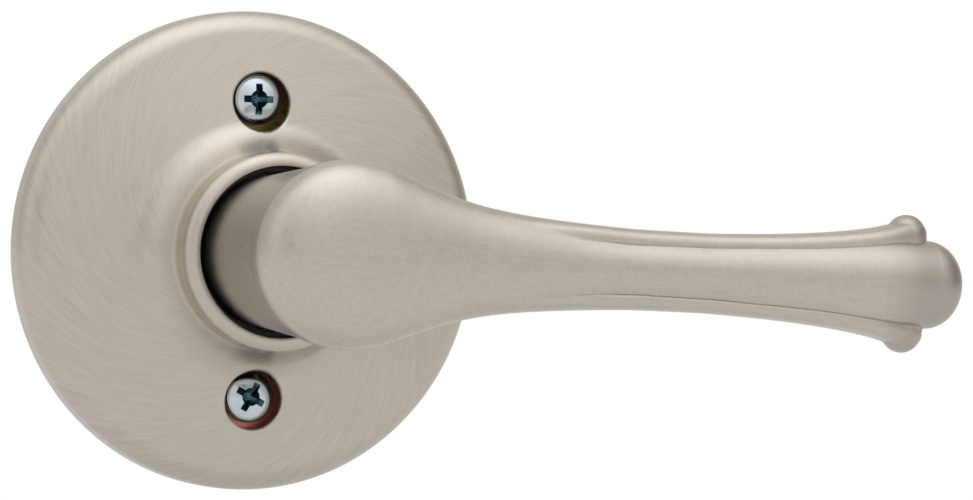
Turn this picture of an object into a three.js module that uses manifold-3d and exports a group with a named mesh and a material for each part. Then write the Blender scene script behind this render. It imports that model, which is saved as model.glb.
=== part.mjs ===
// Door lever handle: the inside half of a lever set. A round rose hides a mounting plate that two long screws
// clamp to the door. The lever's neck turns in the rose, against a return spring that brings it back level.
// Units are millimetres. +Z is up, +X runs along the lever, and -Y points out of the door, into the room.
// "Depth" is the distance out from the door's face, so a depth of 10 lies at Y = -10.
import * as THREE from "three";
import { mergeVertices } from "three/addons/utils/BufferGeometryUtils.js";
import Module from "manifold-3d";

const wasm = await Module();
wasm.setup();

// ---- Driving dimensions -------------------------------------------------------------------------------------
const ROSE_RADIUS = 33.3; // 2 5/8 inch rose
const ROSE_WALL = 1; // thickness of the pressed shell
const SHOULDER_RADIUS = 3.5; // outside rounding between the rim and the face
const RIM_HEIGHT = 2.6; // straight part of the rim
const FACE_INNER = [18.4, 8.17]; // radius and depth where the face turns up into the collar
const SWEEP_PULLS = [[16.23, 8.55], [14.78, 11.4]]; // what the curve between face and collar is pulled towards
const COLLAR_FOOT = [13.9, 13.2]; // radius and depth where that curve meets the collar's straight wall
const COLLAR_RADIUS = 13.75; // outside of the collar at its lip
const LIP_ROUNDING = 1.6;
const LIP_DEPTH = 18.55; // how far the collar stands out from the door
const LIP_THICKNESS = 1.65;
const MOUTH_RADIUS = 11.75; // opening that the neck passes through
const INNER_FOOT = [13.35, 12.3]; // the same curve on the inside of the shell
const INNER_PULLS = [[14.2, 10.5], [15.9, 7.5]];
const INNER_WALL = [[12.6, 16], [12.75, 15.1], [12.95, 13.8]]; // from the lip down to that curve

const SCREW_SPREAD = 20.65; // from the lever's axis to each screw hole in the rose
const SCREW_LIFT = 0.4; // how high the screws sit in those holes
const ROSE_HOLE_RADIUS = 4.15;
const SCREW_HEAD_RADIUS = 3.62;
const SCREW_HEAD_HEIGHT = 2.9;
const SCREW_DOME_RADIUS = 5.4;
const SCREW_SIDE = 1; // height of the head's straight side
const SCREW_SEAT_GAP = 0.15; // between the head and the plate
const SCREW_CROSS = { halfLength: 1.9, halfWidth: 0.5, depth: 1.5 };
const SCREW_SHANK_RADIUS = 2.08; // number 8 machine screw, 32 threads to the inch
const SCREW_LENGTH = 50;
const SCREW_POINT = 0.7; // chamfer at its tip

const PLATE_BACK = 2; // depth of the back of the mounting plate
const PLATE_FRONT = 3.5;
const PLATE_RADIUS = 31.4;
const PLATE_HOLE_RADIUS = 10.2;
const PLATE_FLANGE = 1.5; // thickness of the flange that stands the plate off the door
const PLATE_EDGE = 0.6; // bevel round its front

const BOSS_RADIUS = 9.9; // bearing boss that the return spring winds round
const BOSS_TOP = 8.8;
const BORE_RADIUS = 7.45; // bearing bore for the drive tube
const SPRING_RADIUS = 11.25; // to the middle of the wire
const SPRING_WIRE = 0.65; // radius of the wire
const SPRING_LEG_END = 15.1;
const SPRING_LEG_ANGLE = 13; // degrees from the stop to each leg

const TUBE_RADIUS = 7.2;
const TUBE_BORE = 6;
const TUBE_BACK = -3;
const TUBE_TIP = 31;
const TUBE_BEVEL = 0.5; // round its tip
const TUBE_FLANGE = { radius: 10.4, thickness: 2.3 };
const SLIDING_GAP = 0.2; // between a shaft or pin and its hole

const NECK_BACK = 13.8; // where the neck ends inside the rose
const NECK_RADIUS = 10.6; // at that end
const NECK_BEVEL = 0.8; // round that end
const NECK_BORE = 9.2;
const NECK_BORE_TIP = 32.5;
const NECK_FRONT = 42; // inside the hub
const NECK_FLARE = [[10.78, 20.4], [11.04, 24.4], [11.43, 30.2], [11.85, 37.5], [12, NECK_FRONT]];

const LEVER_TIP = 89.8; // from the lever's axis to the end of the bulb
const LEVER_DROOP = 1.38; // degrees that the grip hangs below level at rest

const TOUCH_GAP = 0.3; // left between pieces that touch

const ROSE_SIDES = 48; // sides of the rose, which is the widest piece
const ROUND = 32; // sides of the other large round pieces
const SMALL_ROUND = 16; // sides of the small ones

// ---- Colours ------------------------------------------------------------------------------------------------
const finish = (color, roughness, metalness) => new THREE.MeshStandardMaterial({ color, roughness, metalness });
const SATIN_NICKEL = finish(0xb5aca0, 0.35, 1);
const BRIGHT_ZINC = finish(0xc9d3d8, 0.22, 1);
const YELLOW_ZINC = finish(0xc98f6a, 0.4, 1);
const CAST_ZINC = finish(0x8f9192, 0.55, 1);
const SPRING_STEEL = finish(0x55585c, 0.35, 1);
const BLACK_NYLON = finish(0x161616, 0.6, 0);
const WHITE_NYLON = finish(0xd8d6cf, 0.55, 0);

// ---- Solids -------------------------------------------------------------------------------------------------
// A geometry as a manifold-3d solid, turned to face outwards if it was drawn the other way round.
function solid(geometry) {
  const bare = geometry.index ? geometry.toNonIndexed() : geometry.clone();
  bare.deleteAttribute("normal");
  bare.deleteAttribute("uv");
  const merged = mergeVertices(bare, 1e-4);
  const corners = [];
  for (let i = 0; i < merged.index.count; i += 3) {
    const [a, b, c] = merged.index.array.slice(i, i + 3);
    if (a !== b && b !== c && a !== c) corners.push(a, b, c);
  }
  const build = (order) =>
    new wasm.Manifold(
      new wasm.Mesh({
        numProp: 3,
        vertProperties: new Float32Array(merged.attributes.position.array),
        triVerts: new Uint32Array(order),
      }),
    );
  const made = build(corners);
  return made.volume() > 0 ? made : build(corners.reverse());
}

// The other way: a solid's surface as a geometry that a mesh can hold.
function surface(manifold) {
  const mesh = manifold.getMesh();
  const geometry = new THREE.BufferGeometry();
  const points = new THREE.BufferAttribute(mesh.vertProperties, 3);
  geometry.setAttribute("position", points);
  geometry.setIndex(new THREE.BufferAttribute(mesh.triVerts, 1));
  geometry.computeVertexNormals();
  return geometry;
}

// Points along an arc, for an outline. Angles are in degrees.
function arc(x, y, radius, from, to, steps) {
  return Array.from({ length: steps + 1 }, (_, i) => {
    const angle = THREE.MathUtils.degToRad(from + ((to - from) * i) / steps);
    return [x + radius * Math.cos(angle), y + radius * Math.sin(angle)];
  });
}

// An outline of [radius, depth] pairs turned about the lever's axis. An outline that is off the axis closes.
function turned(outline, sides = ROUND) {
  const points = outline.map(([radius, depth]) => new THREE.Vector2(radius, -depth));
  const onAxis = points[0].x === 0 && points.at(-1).x === 0;
  if (!onAxis) points.push(points[0].clone());
  return solid(new THREE.LatheGeometry(points, sides));
}

const ring = (inner, outer, back, front, sides = ROUND) =>
  turned([[inner, back], [outer, back], [outer, front], [inner, front]], sides);

const rod = (radius, back, front, sides = SMALL_ROUND) =>
  turned([[0, back], [radius, back], [radius, front], [0, front]], sides);

// A block between two corners, each [x, depth, z].
function block([x0, depth0, z0], [x1, depth1, z1]) {
  const box = new THREE.BoxGeometry(Math.abs(x1 - x0), Math.abs(depth1 - depth0), Math.abs(z1 - z0));
  return solid(box.translate((x0 + x1) / 2, -(depth0 + depth1) / 2, (z0 + z1) / 2));
}

// A sector of a ring, centred on an angle in the XZ plane (0 is +X, 90 is +Z).
function lug(inner, outer, back, front, angle, halfWidth) {
  const shape = new THREE.Shape();
  const low = THREE.MathUtils.degToRad(angle - halfWidth);
  const high = THREE.MathUtils.degToRad(angle + halfWidth);
  shape.absarc(0, 0, outer, low, high, false);
  shape.absarc(0, 0, inner, high, low, true);
  const plate = new THREE.ExtrudeGeometry(shape, { depth: front - back, bevelEnabled: false, curveSegments: 4 });
  return solid(plate.rotateX(Math.PI / 2).translate(0, -back, 0));
}

// A body skinned over rings of points, closed at each end by a fan to a pole.
function loft(rings, startPole, endPole) {
  const sides = rings[0].length;
  const points = [startPole, ...rings.flat(), endPole];
  const at = (r, s) => 1 + r * sides + (s % sides);
  const faces = [];
  for (let s = 0; s < sides; s++) {
    faces.push(0, at(0, s + 1), at(0, s));
    for (let r = 0; r < rings.length - 1; r++) {
      faces.push(at(r, s), at(r, s + 1), at(r + 1, s + 1));
      faces.push(at(r, s), at(r + 1, s + 1), at(r + 1, s));
    }
    faces.push(points.length - 1, at(rings.length - 1, s), at(rings.length - 1, s + 1));
  }
  const geometry = new THREE.BufferGeometry().setFromPoints(points);
  geometry.setIndex(faces);
  return solid(geometry);
}

// ---- The lever's lofted bodies ------------------------------------------------------------------------------
// Each station is [x, half height, front depth, back depth, squareness]. A section is a superellipse, and its
// squareness is the exponent: 2 is an ellipse, and larger numbers have flatter faces and tighter corners.
// The core is the hub, the crowned panel down the middle of the grip, and the bulb at its end.
const CORE = [
  [0, 12.6, 51.5, 37.4, 2.9],
  [4, 12.1, 51.4, 37.8, 2.9],
  [8, 10.75, 51.1, 38.5, 2.85],
  [12, 9.25, 50.8, 39.2, 2.8],
  [16, 8.05, 50.5, 39.8, 2.7],
  [20, 7, 50.3, 40.2, 2.6],
  [24, 6.1, 50.15, 40.5, 2.5],
  [28, 5.45, 50, 40.7, 2.4],
  [32, 4.98, 49.85, 40.9, 2.35],
  [36, 4.65, 49.8, 41, 2.3],
  [41, 4.38, 49.7, 41, 2.3],
  [50, 4.38, 49.7, 40.8, 2.3],
  [59, 4.8, 49.7, 40.43, 2.3],
  [68.4, 5.36, 49.83, 39.8, 2.3],
  [75.4, 5.84, 49.9, 39.2, 2.3],
  [80, 6.03, 49.9, 38.7, 2.3],
  [84.7, 6.05, 49.5, 38.2, 2.3],
];
// A flange runs along the top of the panel, and its mirror image along the bottom, a step further back. Each
// station is [x, inner edge, outer edge, front depth, back depth]. Both grow out of the hub and end in a scroll.
const FLANGE = [
  [12, 4.6, 8.4, 48.2, 42],
  [16, 4.1, 7.8, 48.8, 41.5],
  [20, 3.6, 7.2, 48.9, 41.3],
  [24, 3.2, 6.62, 48.8, 41.3],
  [28, 2.8, 6.22, 48.7, 41.3],
  [32.4, 2.4, 5.9, 48.6, 41.3],
  [36, 1.8, 5.69, 48.5, 41.3],
  [42, 1.4, 5.46, 48.35, 41.3],
  [50, 1.4, 5.43, 48.2, 41.2],
  [59, 1.7, 5.73, 48.1, 41],
  [66, 2.2, 6.18, 48.1, 40.5],
  [72, 2.7, 6.78, 47.9, 40.2],
  [76, 3.1, 7.35, 47.55, 40],
  [79, 3.5, 7.95, 47.05, 39.9],
  [81.5, 3.9, 8.65, 46.5, 39.9],
];
const FLANGE_SQUARENESS = 3.2;
const FLANGE_SIDES = 16;
const SCROLL_REACH = 3.1; // from the last station to the scroll's end
const SCROLL_STEPS = 4;
const EYE = { x: 81.9, depth: 43.2, z: 6.9, alongX: 2.65, alongY: 3, alongZ: 2.6 };
const CORE_SIDES = 24;

// A superellipse as [z, depth] pairs, which starts at its highest point and goes by way of its front.
function oval(z, halfHeight, front, back, squareness, sides) {
  const rounded = (value) => Math.sign(value) * Math.abs(value) ** (2 / squareness);
  return Array.from({ length: sides }, (_, i) => {
    const angle = (2 * Math.PI * i) / sides;
    const out = ((front - back) / 2) * rounded(Math.sin(angle));
    return [z + halfHeight * rounded(Math.cos(angle)), (front + back) / 2 + out];
  });
}

const atX = (x, outline) => outline.map(([z, depth]) => new THREE.Vector3(x, -depth, z));

// A core section turned about the axis through its middle, for the hub's and the bulb's round ends.
function roundEnd([x, half, front, back, squareness], reach) {
  const outline = oval(0, half, front, back, squareness, CORE_SIDES);
  const quarter = CORE_SIDES / 4;
  const near = [...outline.slice(-quarter), ...outline.slice(0, quarter + 1)];
  const profile = near.map(([z, depth]) => [Math.max(z, 0), depth]);
  profile[0][0] = 0;
  profile[profile.length - 1][0] = 0;
  return turned(profile).scale([reach / half, 1, 1]).translate(x, 0, 0);
}

function leverCore() {
  const rings = CORE.map(([x, half, front, back, squareness]) =>
    atX(x, oval(0, half, front, back, squareness, CORE_SIDES)),
  );
  const pole = ([x, , front, back]) => new THREE.Vector3(x, -(front + back) / 2, 0);
  const [hub, bulb] = [CORE[0], CORE.at(-1)];
  const grip = loft(rings, pole(hub), pole(bulb));
  return grip.add(roundEnd(hub, hub[1])).add(roundEnd(bulb, LEVER_TIP - bulb[0]));
}

// The last station shrinks along an ellipse to close the scroll.
function upperFlange() {
  const stations = [...FLANGE];
  const [x, inner, outer, front, back] = FLANGE.at(-1);
  for (let i = 1; i <= SCROLL_STEPS; i++) {
    const angle = ((i / (SCROLL_STEPS + 1)) * Math.PI) / 2;
    const narrow = ((outer - inner) / 2) * (1 - Math.cos(angle));
    const thin = ((front - back) / 2) * (1 - Math.cos(angle));
    stations.push([x + SCROLL_REACH * Math.sin(angle), inner + narrow, outer - narrow, front - thin, back + thin]);
  }
  const middle = (station) => (station[1] + station[2]) / 2;
  const rings = stations.map((station) => {
    const [atStation, low, high, near, far] = station;
    return atX(atStation, oval(middle(station), (high - low) / 2, near, far, FLANGE_SQUARENESS, FLANGE_SIDES));
  });
  const start = new THREE.Vector3(FLANGE[0][0], -(FLANGE[0][3] + FLANGE[0][4]) / 2, middle(FLANGE[0]));
  const end = new THREE.Vector3(x + SCROLL_REACH, -(front + back) / 2, (inner + outer) / 2);
  return loft(rings, start, end);
}

function scrollEye() {
  const ball = new THREE.SphereGeometry(1, 14, 10).scale(EYE.alongX, EYE.alongY, EYE.alongZ);
  return solid(ball.translate(EYE.x, -EYE.depth, EYE.z));
}

// ---- Pieces fixed to the door -------------------------------------------------------------------------------
const screwHeights = { upper: SCREW_SPREAD, lower: -SCREW_SPREAD };

// Points on a smooth sweep from one [radius, depth] to another, pulled towards the two between.
function sweep(from, pullFrom, pullTo, to, steps) {
  const [a, b, c, d] = [from, pullFrom, pullTo, to].map((pair) => new THREE.Vector2(...pair));
  return new THREE.CubicBezierCurve(a, b, c, d).getPoints(steps).map(({ x, y }) => [x, y]);
}

function roseCover() {
  const [footRadius, footDepth] = FACE_INNER;
  const lipCentre = [COLLAR_RADIUS - LIP_ROUNDING, LIP_DEPTH - LIP_ROUNDING];
  const shoulder = [ROSE_RADIUS - SHOULDER_RADIUS, RIM_HEIGHT];
  const outside = [
    [ROSE_RADIUS, 0],
    ...arc(...shoulder, SHOULDER_RADIUS, 0, 80, 4),
    ...sweep(FACE_INNER, ...SWEEP_PULLS, COLLAR_FOOT, 5),
    ...arc(...lipCentre, LIP_ROUNDING, 0, 90, 3),
    [MOUTH_RADIUS, LIP_DEPTH],
  ];
  const inside = [
    [MOUTH_RADIUS, LIP_DEPTH - LIP_THICKNESS],
    ...INNER_WALL,
    ...sweep(INNER_FOOT, ...INNER_PULLS, [footRadius, footDepth - ROSE_WALL], 4),
    ...arc(...shoulder, SHOULDER_RADIUS - ROSE_WALL, 80, 0, 2),
    [ROSE_RADIUS - ROSE_WALL, 0],
  ];
  let shell = turned([...outside, ...inside], ROSE_SIDES);
  for (const z of Object.values(screwHeights)) {
    shell = shell.subtract(rod(ROSE_HOLE_RADIUS, PLATE_BACK, COLLAR_FOOT[1], 24).translate(0, 0, z));
  }
  return shell;
}

function mountingPlate() {
  const flangeInner = PLATE_RADIUS - PLATE_FLANGE;
  let plate = turned([
    [PLATE_HOLE_RADIUS, PLATE_BACK],
    [flangeInner, PLATE_BACK],
    [flangeInner, 0],
    [PLATE_RADIUS, 0],
    [PLATE_RADIUS, PLATE_FRONT - PLATE_EDGE],
    [PLATE_RADIUS - PLATE_EDGE, PLATE_FRONT],
    [PLATE_HOLE_RADIUS, PLATE_FRONT],
  ]);
  for (const z of Object.values(screwHeights)) {
    const hole = rod(SCREW_SHANK_RADIUS + TOUCH_GAP, PLATE_BACK - 1, PLATE_FRONT + 1);
    plate = plate.subtract(hole.translate(0, 0, z + SCREW_LIFT));
  }
  for (const side of [-1, 1]) {
    const hole = rod(RIVET.shank + SLIDING_GAP, PLATE_BACK - 1, PLATE_FRONT + 1);
    plate = plate.subtract(hole.translate(side * RIVET.x, 0, 0));
  }
  return plate;
}

// The cast housing carries the drive tube in its bore. Two ears take the rivets, and of the three lugs on its
// rim one is the spring's stop and two end the lever's swing.
const RIVET = { x: 21, shank: 1.5, head: 2.6, headHeight: 0.8, backHeight: 0.9, bevel: [0.5, 0.2] };
const EAR = { reach: 3.2, halfWidth: 3.4, overlap: 1.5 };
const STOP = { inner: 13.8, outer: 15.2, top: 7.4, halfWidth: 8 };
const SWING_END = { inner: 12.3, outer: 13.6, top: 7, halfWidth: 5, offset: 70 };
const HOUSING = { back: 0.6, base: PLATE_FRONT + TOUCH_GAP, floor: 4.9, radius: 15.4 };

function bearingHousing() {
  let housing = turned([
    [BORE_RADIUS, HOUSING.back],
    [BOSS_RADIUS, HOUSING.back],
    [BOSS_RADIUS, HOUSING.base],
    [HOUSING.radius, HOUSING.base],
    [HOUSING.radius, HOUSING.floor],
    [BOSS_RADIUS, HOUSING.floor],
    [BOSS_RADIUS, BOSS_TOP],
    [BORE_RADIUS, BOSS_TOP],
  ]);
  for (const side of [-1, 1]) {
    const root = [side * (HOUSING.radius - EAR.overlap), HOUSING.base, -EAR.halfWidth];
    const ear = block(root, [side * (RIVET.x + EAR.reach), HOUSING.floor, EAR.halfWidth]);
    const hole = rod(RIVET.shank + SLIDING_GAP, HOUSING.base - 1, HOUSING.floor + 1);
    housing = housing.add(ear).subtract(hole.translate(side * RIVET.x, 0, 0));
  }
  const foot = HOUSING.floor - 0.5;
  for (const offset of [-SWING_END.offset, SWING_END.offset]) {
    const { inner, outer, top, halfWidth } = SWING_END;
    housing = housing.add(lug(inner, outer, foot, top, 180 + offset, halfWidth));
  }
  return housing.add(lug(STOP.inner, STOP.outer, foot, STOP.top, 180, STOP.halfWidth));
}

function housingRivet() {
  const behind = PLATE_BACK - TOUCH_GAP;
  const before = HOUSING.floor + TOUCH_GAP;
  const front = before + RIVET.headHeight;
  const outline = [
    [0, behind - RIVET.backHeight],
    [RIVET.head, behind - RIVET.backHeight],
    [RIVET.head, behind],
    [RIVET.shank, behind],
    [RIVET.shank, before],
    [RIVET.head, before],
    [RIVET.head - RIVET.bevel[0], front - RIVET.bevel[1]],
    [0, front],
  ];
  return turned(outline, SMALL_ROUND);
}

// The spring goes round once, from one side of the stop to the other, with a leg at each end.
const SPRING_PITCH = 1.5;
const SPRING_BEND = 1.1; // how far out of the coil each leg turns
const SPRING_START = HOUSING.floor + SPRING_WIRE + 0.35;

function returnSpring() {
  const low = 180 + SPRING_LEG_ANGLE;
  const around = 360 - 2 * SPRING_LEG_ANGLE;
  const steps = 30;
  const spot = (radius, degrees, depth) => {
    const angle = THREE.MathUtils.degToRad(degrees);
    return new THREE.Vector3(radius * Math.cos(angle), -depth, radius * Math.sin(angle));
  };
  const bend = SPRING_RADIUS + SPRING_BEND;
  const route = [spot(SPRING_LEG_END, low, SPRING_START), spot(bend, low, SPRING_START)];
  for (let i = 1; i < steps; i++) {
    route.push(spot(SPRING_RADIUS, low + (around * i) / steps, SPRING_START + (SPRING_PITCH * i) / steps));
  }
  const end = SPRING_START + SPRING_PITCH;
  route.push(spot(bend, low + around, end), spot(SPRING_LEG_END, low + around, end));
  return tube(new THREE.CatmullRomCurve3(route, false, "centripetal"), SPRING_WIRE, 60, 6);
}

// A round wire along a curve, closed at both ends.
function tube(path, radius, steps, sides) {
  const outline = new THREE.Shape();
  outline.absarc(0, 0, radius, 0, 2 * Math.PI, false);
  const options = { steps, extrudePath: path, bevelEnabled: false, curveSegments: sides / 2 };
  return solid(new THREE.ExtrudeGeometry(outline, options));
}

const BUSHING = { inner: NECK_RADIUS + 0.35, outer: 12.1, back: 13.6, front: 16.2 };

function neckBushing() {
  return ring(BUSHING.inner, BUSHING.outer, BUSHING.back, BUSHING.front);
}

// A round-headed machine screw with a cross recess. The head bears on the mounting plate.
function mountingScrew() {
  const seat = PLATE_FRONT + SCREW_SEAT_GAP;
  const crown = seat + SCREW_HEAD_HEIGHT;
  const dome = arc(0, crown - SCREW_DOME_RADIUS, SCREW_DOME_RADIUS, 52, 82, 2);
  const body = turned([
    [0, seat - SCREW_LENGTH],
    [SCREW_SHANK_RADIUS - SCREW_POINT, seat - SCREW_LENGTH],
    [SCREW_SHANK_RADIUS, seat - SCREW_LENGTH + SCREW_POINT],
    [SCREW_SHANK_RADIUS, seat],
    [SCREW_HEAD_RADIUS, seat],
    [SCREW_HEAD_RADIUS, seat + SCREW_SIDE],
    ...dome,
    [0, crown],
  ]);
  const { halfLength, halfWidth, depth } = SCREW_CROSS;
  const slot = (halfX, halfZ) => block([-halfX, crown - depth, -halfZ], [halfX, crown + 1, halfZ]);
  return body.subtract(slot(halfLength, halfWidth)).subtract(slot(halfWidth, halfLength));
}

const WASHER = { inner: TUBE_RADIUS + 0.25, outer: TUBE_FLANGE.radius, back: -0.35, front: 0.3 };

function thrustWasher() {
  return ring(WASHER.inner, WASHER.outer, WASHER.back, WASHER.front);
}

// ---- Pieces that turn with the lever ------------------------------------------------------------------------
const CATCH = { depth: 24, halfX: 1.3, halfY: 2.4, tip: -10.7, seat: -4.6, foot: -3.4, footX: 2.6, footY: 3.6 };
const RELEASE_SLOT = { halfX: CATCH.halfX + TOUCH_GAP, halfY: CATCH.halfY + TOUCH_GAP };
const SPINDLE = { radius: 3.95, flat: -0.5, front: 9.5, back: -52 };
const PIN = { radius: 0.8, depth: 4 };
const SNAP_GROOVE = { back: 10.5, front: 11.7, radius: 6.6 };

// The slot below the axis that the catch reaches through, in the tube, its sleeve and the neck.
function releaseSlot(near, far) {
  const { halfX, halfY } = RELEASE_SLOT;
  return block([-halfX, CATCH.depth - halfY, far], [halfX, CATCH.depth + halfY, near]);
}

function leverHandle() {
  const neck = turned([
    [0, NECK_BACK],
    [NECK_RADIUS - NECK_BEVEL, NECK_BACK],
    [NECK_RADIUS, NECK_BACK + NECK_BEVEL],
    ...NECK_FLARE,
    [0, NECK_FRONT],
  ]);
  const bore = rod(NECK_BORE, NECK_BACK - 1, NECK_BORE_TIP, ROUND);
  const upper = upperFlange().add(scrollEye());
  const grip = leverCore().add(upper).add(upper.mirror([0, 0, 1])).rotate([0, LEVER_DROOP, 0]);
  return grip.add(neck).subtract(bore).subtract(releaseSlot(-8, -14));
}

const SLEEVE_FIT = { radius: SLIDING_GAP, back: 0.4 };

function neckSleeve() {
  const { radius } = SLEEVE_FIT;
  const sleeve = ring(TUBE_RADIUS + radius, NECK_BORE - radius, NECK_BACK + SLEEVE_FIT.back, NECK_BORE_TIP - 1);
  return sleeve.subtract(releaseSlot(-6, -11));
}

function driveTube() {
  const { radius, thickness } = TUBE_FLANGE;
  const shaft = turned([
    [TUBE_BORE, TUBE_BACK],
    [radius, TUBE_BACK],
    [radius, TUBE_BACK + thickness],
    [TUBE_RADIUS, TUBE_BACK + thickness],
    [TUBE_RADIUS, SNAP_GROOVE.back],
    [SNAP_GROOVE.radius, SNAP_GROOVE.back],
    [SNAP_GROOVE.radius, SNAP_GROOVE.front],
    [TUBE_RADIUS, SNAP_GROOVE.front],
    [TUBE_RADIUS, TUBE_TIP - TUBE_BEVEL],
    [TUBE_RADIUS - TUBE_BEVEL, TUBE_TIP],
    [TUBE_BORE, TUBE_TIP],
  ]);
  return shaft.subtract(releaseSlot(CATCH.seat - 0.1, -TUBE_RADIUS - 2)).subtract(crossHole(TUBE_RADIUS + 2));
}

// A hole right across the axis, for the pin that keeps the spindle in.
function crossHole(half) {
  return rod(PIN.radius + SLIDING_GAP, -half, half).rotate([0, 0, 90]).translate(0, -PIN.depth, 0);
}

// The driver is keyed to the tube and reaches back between the spring's legs.
const DRIVER = { back: 9.1, front: 10.2, rim: 11.3, lugInner: 12.2, lugOuter: 13.2, lugBack: 5.4, halfWidth: 8 };

function springDriver() {
  const { back, front, rim, lugInner, lugOuter, lugBack, halfWidth } = DRIVER;
  const disc = ring(TUBE_RADIUS + SLIDING_GAP, rim, back, front);
  const arm = lug(BOSS_RADIUS, lugOuter, back, front, 180, halfWidth);
  const finger = lug(lugInner, lugOuter, lugBack, front - (front - back) / 2, 180, halfWidth);
  return disc.add(arm).add(finger);
}

// A snap ring in the tube's groove, with the gap that its pliers open.
const SNAP_RING = { outer: 9, gapHalfWidth: 1.6 };

function snapRing() {
  const { outer, gapHalfWidth } = SNAP_RING;
  const { back, front, radius } = SNAP_GROOVE;
  const whole = ring(radius + SLIDING_GAP, outer, back + SLIDING_GAP, front - SLIDING_GAP / 2);
  const gap = block([-gapHalfWidth, back - 1, -outer - 1], [gapHalfWidth, front + 1, 1 - radius]);
  return whole.subtract(gap);
}

// A half-round outline, a little over half a circle, as the spindle's bar has.
function halfRound(radius, flat, back, front) {
  const bar = rod(radius, back, front, 24);
  const reach = 2 * radius;
  return bar.subtract(block([-reach, back - 1, flat - reach], [reach, front + 1, flat]));
}

const SOCKET_END = 1.5; // how far the socket runs on past the bar's end

function spindleSocket() {
  const plug = rod(TUBE_BORE - SLIDING_GAP, TUBE_BACK + TOUCH_GAP, SPINDLE.front + SOCKET_END, 24);
  const flat = SPINDLE.flat - SLIDING_GAP;
  const hole = halfRound(SPINDLE.radius + SLIDING_GAP, flat, TUBE_BACK - 1, SPINDLE.front + TOUCH_GAP);
  return plug.subtract(hole).subtract(crossHole(TUBE_RADIUS));
}

function spindleBar() {
  return halfRound(SPINDLE.radius, SPINDLE.flat, SPINDLE.back, SPINDLE.front).subtract(crossHole(TUBE_RADIUS));
}

function spindlePin() {
  const end = TUBE_RADIUS - TOUCH_GAP;
  return rod(PIN.radius, -end, end, 12).rotate([0, 0, 90]).translate(0, -PIN.depth, 0);
}

// ---- The lever's catch --------------------------------------------------------------------------------------
// A stepped button under the axis. Its foot stays inside the tube, and its stem locks the neck to the tube.
function leverCatch() {
  const { depth, halfX, halfY, tip, seat, foot, footX, footY } = CATCH;
  const stem = block([-halfX, depth - halfY, tip], [halfX, depth + halfY, (seat + foot) / 2]);
  const base = block([-footX, depth - footY, seat], [footX, depth + footY, foot]);
  return stem.add(base);
}

const CATCH_SPRING = { coils: 5, radius: 2, wire: 0.25, low: CATCH.foot + 0.6, high: 4.6, stepsPerCoil: 8 };

function catchSpring() {
  const { coils, radius, wire, low, high, stepsPerCoil } = CATCH_SPRING;
  const steps = coils * stepsPerCoil;
  const route = [];
  for (let i = 0; i <= steps; i++) {
    const angle = (2 * Math.PI * coils * i) / steps;
    const z = low + ((high - low) * i) / steps;
    route.push(new THREE.Vector3(radius * Math.cos(angle), radius * Math.sin(angle) - CATCH.depth, z));
  }
  return tube(new THREE.CatmullRomCurve3(route), wire, steps, 4);
}

// ---- Assembly -----------------------------------------------------------------------------------------------
const handle = new THREE.Group();

function place(name, made, material, x = 0, z = 0) {
  const mesh = new THREE.Mesh(surface(made), material);
  mesh.name = name;
  mesh.position.set(x, 0, z);
  handle.add(mesh);
}

place("rose_cover", roseCover(), SATIN_NICKEL);
place("mounting_plate", mountingPlate(), YELLOW_ZINC);
place("bearing_housing", bearingHousing(), CAST_ZINC);
place("housing_rivet_left", housingRivet(), BRIGHT_ZINC, -RIVET.x);
place("housing_rivet_right", housingRivet(), BRIGHT_ZINC, RIVET.x);
place("return_spring", returnSpring(), SPRING_STEEL);
place("neck_bushing", neckBushing(), BLACK_NYLON);
for (const [name, z] of Object.entries(screwHeights)) {
  place(`${name}_mounting_screw`, mountingScrew(), BRIGHT_ZINC, 0, z + SCREW_LIFT);
}
place("thrust_washer", thrustWasher(), WHITE_NYLON);

place("lever_handle", leverHandle(), SATIN_NICKEL);
place("neck_sleeve", neckSleeve(), WHITE_NYLON);
place("drive_tube", driveTube(), YELLOW_ZINC);
place("spring_driver", springDriver(), CAST_ZINC);
place("snap_ring", snapRing(), SPRING_STEEL);
place("spindle_socket", spindleSocket(), CAST_ZINC);
place("spindle_bar", spindleBar(), BRIGHT_ZINC);
place("spindle_pin", spindlePin(), SPRING_STEEL);

place("lever_catch", leverCatch(), SPRING_STEEL);
place("catch_spring", catchSpring(), SPRING_STEEL);

export default handle;
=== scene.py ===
import math

import bmesh
import bpy
import numpy as np
from mathutils import Matrix, Vector


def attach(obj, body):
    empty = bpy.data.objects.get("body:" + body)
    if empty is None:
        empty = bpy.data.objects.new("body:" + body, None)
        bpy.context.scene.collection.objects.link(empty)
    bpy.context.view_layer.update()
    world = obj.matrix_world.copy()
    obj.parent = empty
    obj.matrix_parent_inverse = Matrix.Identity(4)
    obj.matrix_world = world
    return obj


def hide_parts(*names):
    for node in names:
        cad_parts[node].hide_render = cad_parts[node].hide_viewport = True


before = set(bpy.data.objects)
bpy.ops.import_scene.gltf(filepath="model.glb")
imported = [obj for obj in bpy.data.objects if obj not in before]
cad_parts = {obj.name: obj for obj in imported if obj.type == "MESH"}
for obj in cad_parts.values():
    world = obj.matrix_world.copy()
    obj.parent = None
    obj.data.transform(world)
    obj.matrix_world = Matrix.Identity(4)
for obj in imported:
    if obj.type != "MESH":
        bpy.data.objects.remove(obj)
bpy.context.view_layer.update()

MM = 0.001


# ---- Small helpers ----
def linear(red, green, blue):
    """An 8-bit sRGB colour as linear RGBA."""

    def channel(value):
        c = value / 255
        return c / 12.92 if c <= 0.04045 else ((c + 0.055) / 1.055) ** 2.4
    return (channel(red), channel(green), channel(blue), 1.0)


def arc(radius, depth, size, start, end, steps):
    """Profile points on an arc about (radius, depth). Angles are in degrees, and 0 points outwards."""
    angles = np.radians(np.linspace(start, end, steps + 1))
    return [(radius + size * math.cos(a), depth + size * math.sin(a)) for a in angles]


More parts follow.
